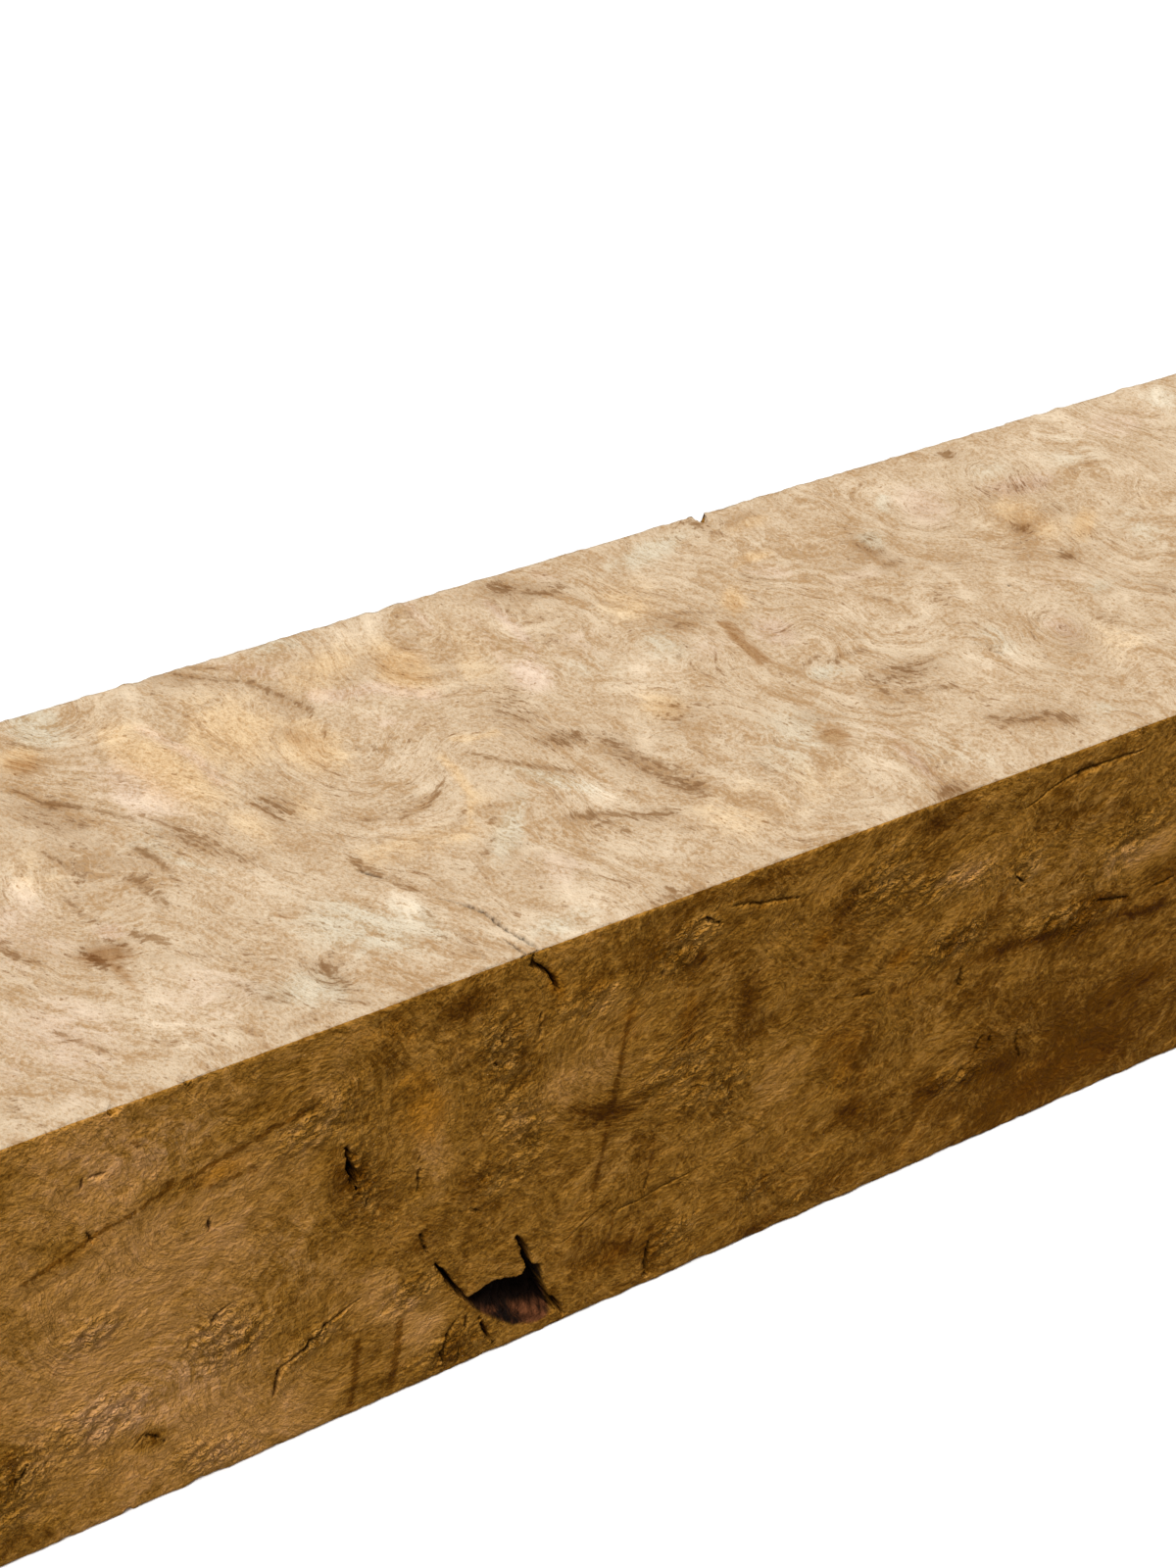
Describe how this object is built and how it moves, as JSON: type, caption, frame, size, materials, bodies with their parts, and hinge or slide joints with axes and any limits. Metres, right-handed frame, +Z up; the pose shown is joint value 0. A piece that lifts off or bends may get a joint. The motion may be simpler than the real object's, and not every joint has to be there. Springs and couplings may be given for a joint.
{
  "type": "burl wood blank",
  "caption": "Squared block of swirling burl wood, sawn on every face, with a bark pocket and open cracks in its front, lying flat on its underside.",
  "frame": {"origin": "middle of the flat underside", "axes": "+X along the block's length, +Y from the front face with the bark pocket to the back, +Z up"},
  "size_m": [0.2, 0.04, 0.05],
  "materials": {
    "burl_wood": "raw sawn wood, pale and marbled on top, golden brown and rough on the sides"
  },
  "bodies": {
    "root": {"burl_blank": "burl_wood"}
  },
  "joints": []
}
